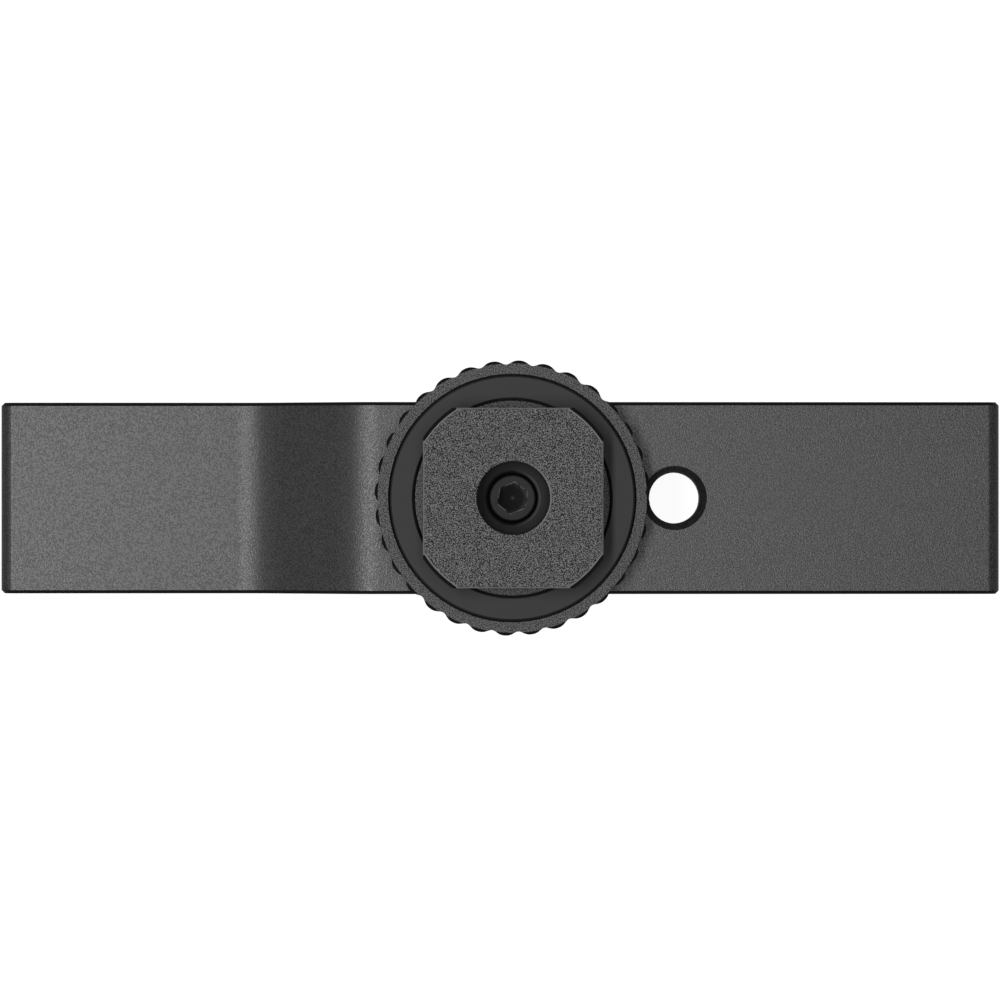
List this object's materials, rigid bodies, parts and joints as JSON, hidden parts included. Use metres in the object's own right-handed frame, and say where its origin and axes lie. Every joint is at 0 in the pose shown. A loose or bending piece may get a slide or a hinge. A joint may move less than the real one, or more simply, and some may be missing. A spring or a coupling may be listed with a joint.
{
  "type": "cold shoe extension bracket",
  "caption": "Stepped metal bar with a swivelling shoe foot and knurled lock ring, an accessory shoe under each end and a threaded hole.",
  "frame": {"origin": "middle of the shoe foot's outer face, on the swivel axis", "axes": "+Z out of the foot's face along the swivel axis, +X along the bar towards its straight end, +Y across the bar towards the shoes' end stops"},
  "size_m": [0.1043, 0.0284, 0.0228],
  "materials": {
    "bar_anodised": "bead-blasted, black anodised",
    "foot_anodised": "bead-blasted, black anodised",
    "ring_anodised": "bead-blasted, black anodised",
    "washer_black": "smooth satin black",
    "screw_black": "black oxide",
    "washer_nylon": "natural nylon",
    "spring_steel": "rolled stainless sheet",
    "screw_steel": "turned stainless"
  },
  "bodies": {
    "bar": {"extension_bar": "bar_anodised", "centre_screw": "screw_black", "spring_washer": "screw_black", "swivel_washer": "washer_nylon", "shoe_spring_stepped": "spring_steel", "shoe_spring_straight": "spring_steel", "shoe_spring_screws": "screw_steel"},
    "foot": {"shoe_foot": "foot_anodised"},
    "washer": {"friction_washer": "washer_black"},
    "ring": {"lock_ring": "ring_anodised"}
  },
  "joints": [
    {"name": "foot_swivel", "type": "hinge", "parent": "bar", "child": "foot", "pos_m": [0, 0, -0.009], "axis": [0, 0, 1], "continuous": true},
    {"name": "ring_travel", "type": "slide", "parent": "foot", "child": "washer", "axis": [0, 0, 1], "range_m": [0, 0.0026]},
    {"name": "ring_turn", "type": "hinge", "parent": "washer", "child": "ring", "pos_m": [0, 0, -0.0068], "axis": [0, 0, 1], "range_deg": [0, 935]}
  ],
  "couplings": [
    {"joint": "ring_travel", "follows": "ring_turn", "m_per_rad": 0.00015915}
  ]
}
